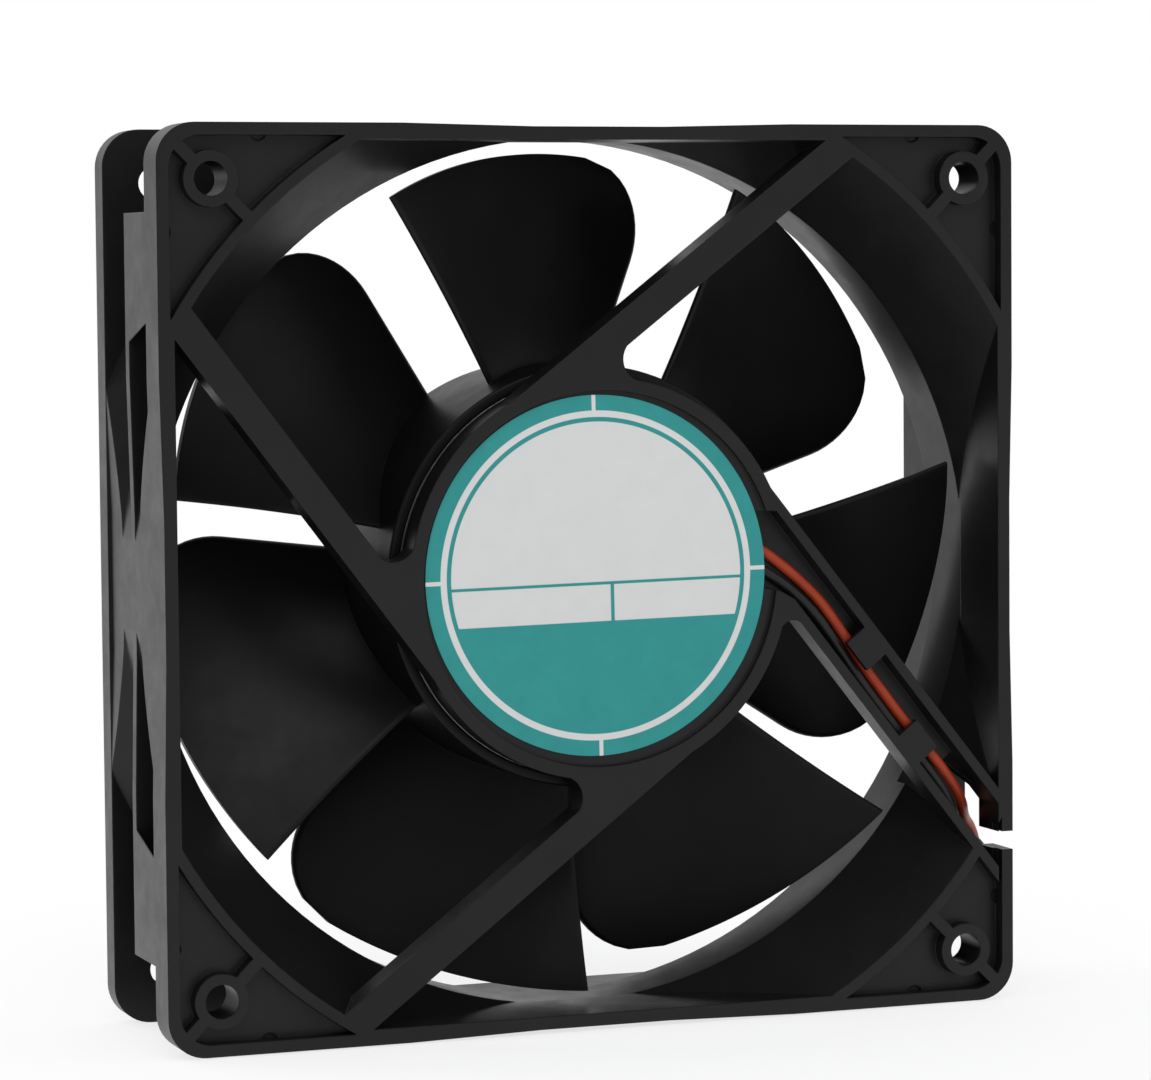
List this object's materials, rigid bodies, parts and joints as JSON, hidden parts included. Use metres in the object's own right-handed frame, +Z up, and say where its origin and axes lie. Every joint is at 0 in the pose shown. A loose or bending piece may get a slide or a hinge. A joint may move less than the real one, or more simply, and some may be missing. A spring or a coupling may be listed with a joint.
{
  "type": "case fan",
  "caption": "Square axial cooling fan with seven blades in a flanged black plastic frame, four slanted struts, an outer-rotor motor on ball bearings and two leads.",
  "frame": {"origin": "middle of the square frame's footprint: the fan stands upright on its lower edge, midway along its width and its depth", "axes": "+Z up, +X to the right seen from the label, +Y along the fan's axis from the struts and the label to the intake side; the air leaves towards -Y"},
  "size_m": [0.1228, 0.0672, 0.119],
  "materials": {
    "frame_plastic": "semi-gloss moulded black",
    "impeller_plastic": "semi-gloss moulded black",
    "label_film": "printed film, teal with white areas, no wording",
    "brass": "turned",
    "board_laminate": "green solder resist",
    "chip_plastic": "moulded epoxy",
    "capacitor_can": "sleeved can",
    "lamination_steel": "stacked sheets",
    "insulator_nylon": "moulded natural nylon",
    "copper_wire": "enamelled copper",
    "tin_plate": "tin plate and solder",
    "bearing_steel": "ground",
    "ball_steel": "polished",
    "yoke_steel": "drawn and plated",
    "magnet_compound": "bonded ferrite",
    "putty": "set putty",
    "red_insulation": "extruded vinyl",
    "black_insulation": "extruded vinyl",
    "tie_nylon": "moulded nylon",
    "housing_nylon": "moulded natural nylon"
  },
  "bodies": {
    "stator_side": {"frame": "frame_plastic", "label": "label_film", "bearing_tube": "brass", "circuit_board": "board_laminate", "driver_ic": "chip_plastic", "hall_sensor": "chip_plastic", "capacitor": "capacitor_can", "diode": "chip_plastic", "resistors": "chip_plastic", "stator_core": "lamination_steel", "front_insulator": "insulator_nylon", "rear_insulator": "insulator_nylon", "winding_1": "copper_wire", "winding_2": "copper_wire", "winding_3": "copper_wire", "winding_4": "copper_wire", "winding_pins": "tin_plate", "front_bearing_outer_race": "bearing_steel", "front_bearing_shields": "bearing_steel", "rear_bearing_outer_race": "bearing_steel", "rear_bearing_shields": "bearing_steel", "lead_solder": "tin_plate", "lead_red": "red_insulation", "lead_black": "black_insulation", "lead_coil": "red_insulation", "lead_tie": "tie_nylon", "connector_housing": "housing_nylon", "connector_terminals": "tin_plate"},
    "rotor": {"impeller": "impeller_plastic", "rotor_yoke": "yoke_steel", "rotor_magnet": "magnet_compound", "shaft_bushing": "brass", "shaft": "ball_steel", "preload_spring": "bearing_steel", "retaining_clip": "bearing_steel", "balance_putty": "putty", "front_bearing_inner_race": "bearing_steel", "rear_bearing_inner_race": "bearing_steel"},
    "front_ball_set": {"front_bearing_balls": "ball_steel", "front_bearing_cage": "brass"},
    "rear_ball_set": {"rear_bearing_balls": "ball_steel", "rear_bearing_cage": "brass"}
  },
  "joints": [
    {"name": "rotor_spin", "type": "hinge", "parent": "stator_side", "child": "rotor", "pos_m": [0, 0, 0.0595], "axis": [0, 1, 0], "continuous": true},
    {"name": "front_balls_spin", "type": "hinge", "parent": "stator_side", "child": "front_ball_set", "pos_m": [0, -0.0114, 0.0595], "axis": [0, 1, 0], "continuous": true},
    {"name": "rear_balls_spin", "type": "hinge", "parent": "stator_side", "child": "rear_ball_set", "pos_m": [0, 0.0055, 0.0595], "axis": [0, 1, 0], "continuous": true}
  ],
  "couplings": [
    {"joint": "front_balls_spin", "follows": "rotor_spin", "ratio": 0.3556},
    {"joint": "rear_balls_spin", "follows": "rotor_spin", "ratio": 0.3556}
  ]
}
